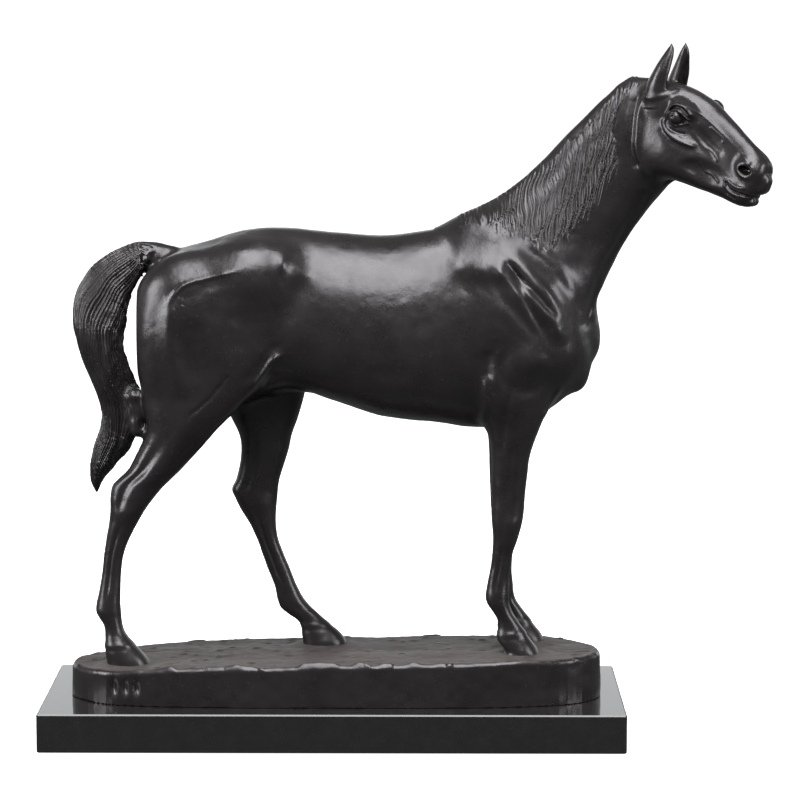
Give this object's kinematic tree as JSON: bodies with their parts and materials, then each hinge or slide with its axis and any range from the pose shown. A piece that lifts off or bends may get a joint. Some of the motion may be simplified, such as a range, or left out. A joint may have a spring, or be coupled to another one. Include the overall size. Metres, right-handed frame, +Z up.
{
  "type": "horse statuette",
  "caption": "Standing bronze horse with its head turned aside, on a modelled bronze ground bolted to a rectangular polished stone plinth with a felt underside.",
  "frame": {"origin": "centre of the felt's underside, where the plinth rests on a shelf or table", "axes": "+Z up, +X the way the horse faces along the plinth, +Y the horse's left"},
  "size_m": [0.3731, 0.12, 0.358],
  "materials": {
    "bronze": "near-black brown patina, waxed, softly glossy",
    "stone": "polished black granite",
    "felt": "black felt",
    "steel": "zinc plated"
  },
  "bodies": {
    "root": {"felt_pad": "felt", "stone_plinth": "stone", "plinth_bolts": "steel", "plinth_washers": "steel", "ground_casting": "bronze", "hoof_studs": "steel", "hoof_washers": "steel", "hoof_nuts": "steel", "torso_casting": "bronze", "neck_and_head_casting": "bronze", "right_fore_leg": "bronze", "left_fore_leg": "bronze", "right_hind_leg": "bronze", "left_hind_leg": "bronze", "tail_casting": "bronze", "leg_dowels": "bronze", "tail_dowels": "bronze", "neck_sleeve": "bronze", "neck_pins": "bronze", "core_plugs": "bronze"}
  },
  "joints": []
}
